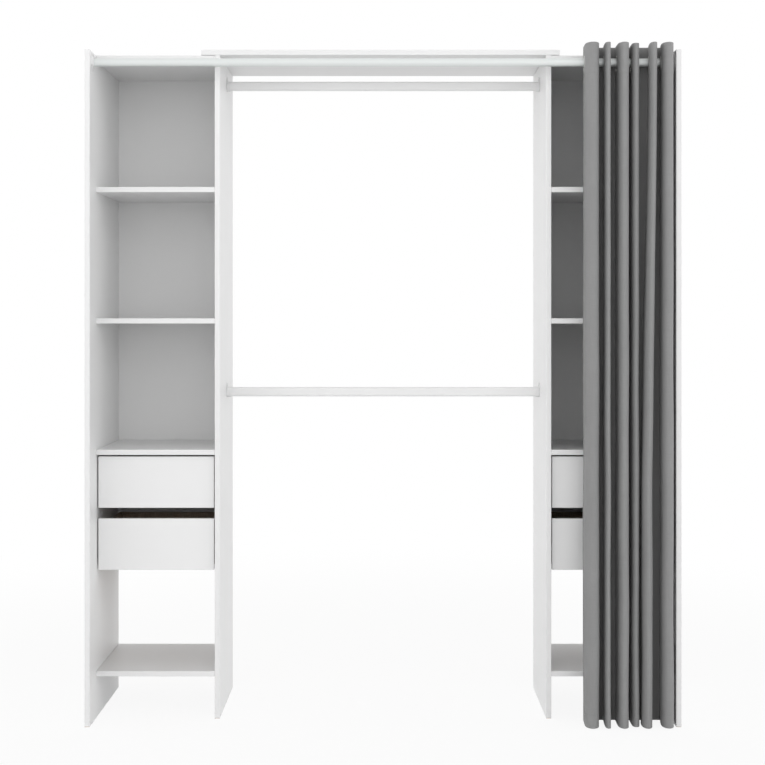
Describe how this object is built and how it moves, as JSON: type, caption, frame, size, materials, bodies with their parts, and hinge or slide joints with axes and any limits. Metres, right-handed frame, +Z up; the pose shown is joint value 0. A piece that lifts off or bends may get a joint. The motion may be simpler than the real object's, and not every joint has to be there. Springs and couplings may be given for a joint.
{
  "type": "curtain wardrobe",
  "caption": "Open wardrobe of board columns with shelves and drawers, joined by a top board and hanging rods, with an eyelet curtain on a front rail.",
  "frame": {"origin": "on the floor, in the middle of the wardrobe's width and depth, curtain and backs included", "axes": "+X to the right seen from the front, +Y to the back, +Z up; the front faces -Y"},
  "size_m": [1.792, 0.5332, 2.0515],
  "materials": {
    "white_board": "white melamine faced chipboard with matching edging, satin",
    "white_front": "white melamine faced chipboard, satin",
    "taupe_wrap": "taupe foil wrapped chipboard, satin",
    "white_hardboard": "white lacquered hardboard, matt",
    "white_tube": "white powder coated steel tube, satin",
    "white_plastic": "white moulded plastic, satin",
    "grey_cloth": "mid grey plain weave cloth, matt"
  },
  "bodies": {
    "frame": {"left_outer_panel": "white_board", "left_divider": "white_board", "left_shelf_bottom": "white_board", "left_shelf_lower": "white_board", "left_shelf_middle": "white_board", "left_shelf_upper": "white_board", "left_top_panel": "white_board", "left_back_panel": "white_hardboard", "left_drawer_lower_runner_inner": "white_plastic", "left_drawer_lower_runner_outer": "white_plastic", "left_drawer_upper_runner_inner": "white_plastic", "left_drawer_upper_runner_outer": "white_plastic", "right_outer_panel": "white_board", "right_divider": "white_board", "right_shelf_bottom": "white_board", "right_shelf_lower": "white_board", "right_shelf_middle": "white_board", "right_shelf_upper": "white_board", "right_top_panel": "white_board", "right_back_panel": "white_hardboard", "right_drawer_lower_runner_inner": "white_plastic", "right_drawer_lower_runner_outer": "white_plastic", "right_drawer_upper_runner_inner": "white_plastic", "right_drawer_upper_runner_outer": "white_plastic", "top_board": "white_board", "upper_rod": "white_tube", "upper_rod_bracket_left": "white_plastic", "upper_rod_bracket_right": "white_plastic", "lower_rod": "white_tube", "lower_rod_bracket_left": "white_plastic", "lower_rod_bracket_right": "white_plastic", "curtain_rail": "white_tube", "rail_socket_left": "white_plastic", "rail_socket_right": "white_plastic"},
    "left_drawer_lower": {"left_drawer_lower_front": "white_front", "left_drawer_lower_box": "taupe_wrap", "left_drawer_lower_bottom": "white_hardboard"},
    "left_drawer_upper": {"left_drawer_upper_front": "white_front", "left_drawer_upper_box": "taupe_wrap", "left_drawer_upper_bottom": "white_hardboard"},
    "right_drawer_lower": {"right_drawer_lower_front": "white_front", "right_drawer_lower_box": "taupe_wrap", "right_drawer_lower_bottom": "white_hardboard"},
    "right_drawer_upper": {"right_drawer_upper_front": "white_front", "right_drawer_upper_box": "taupe_wrap", "right_drawer_upper_bottom": "white_hardboard"},
    "curtain_1": {"curtain_fold_1": "grey_cloth"},
    "curtain_2": {"curtain_fold_2": "grey_cloth"},
    "curtain_3": {"curtain_fold_3": "grey_cloth"},
    "curtain_4": {"curtain_fold_4": "grey_cloth"},
    "curtain_5": {"curtain_fold_5": "grey_cloth"},
    "curtain_6": {"curtain_fold_6": "grey_cloth"}
  },
  "joints": [
    {"name": "left_drawer_lower_slide", "type": "slide", "parent": "frame", "child": "left_drawer_lower", "axis": [0, -1, 0], "range_m": [0, 0.25]},
    {"name": "left_drawer_upper_slide", "type": "slide", "parent": "frame", "child": "left_drawer_upper", "axis": [0, -1, 0], "range_m": [0, 0.25]},
    {"name": "right_drawer_lower_slide", "type": "slide", "parent": "frame", "child": "right_drawer_lower", "axis": [0, -1, 0], "range_m": [0, 0.25]},
    {"name": "right_drawer_upper_slide", "type": "slide", "parent": "frame", "child": "right_drawer_upper", "axis": [0, -1, 0], "range_m": [0, 0.25]},
    {"name": "curtain_slide", "type": "slide", "parent": "frame", "child": "curtain_1", "axis": [-1, 0, 0], "range_m": [0, 0.368]},
    {"name": "curtain_draw", "type": "slide", "parent": "curtain_1", "child": "curtain_2", "axis": [-1, 0, 0], "range_m": [0, 0.148], "deforming": ["curtain_fold_1", "curtain_fold_2"]},
    {"name": "curtain_fold_3_slide", "type": "slide", "parent": "curtain_2", "child": "curtain_3", "axis": [-1, 0, 0], "range_m": [0, 0.148], "deforming": ["curtain_fold_3"]},
    {"name": "curtain_fold_4_slide", "type": "slide", "parent": "curtain_3", "child": "curtain_4", "axis": [-1, 0, 0], "range_m": [0, 0.148], "deforming": ["curtain_fold_4"]},
    {"name": "curtain_fold_5_slide", "type": "slide", "parent": "curtain_4", "child": "curtain_5", "axis": [-1, 0, 0], "range_m": [0, 0.148], "deforming": ["curtain_fold_5"]},
    {"name": "curtain_fold_6_slide", "type": "slide", "parent": "curtain_5", "child": "curtain_6", "axis": [-1, 0, 0], "range_m": [0, 0.148], "deforming": ["curtain_fold_6"]}
  ],
  "couplings": [
    {"joint": "curtain_fold_3_slide", "follows": "curtain_draw", "ratio": 1},
    {"joint": "curtain_fold_4_slide", "follows": "curtain_draw", "ratio": 1},
    {"joint": "curtain_fold_5_slide", "follows": "curtain_draw", "ratio": 1},
    {"joint": "curtain_fold_6_slide", "follows": "curtain_draw", "ratio": 1}
  ]
}
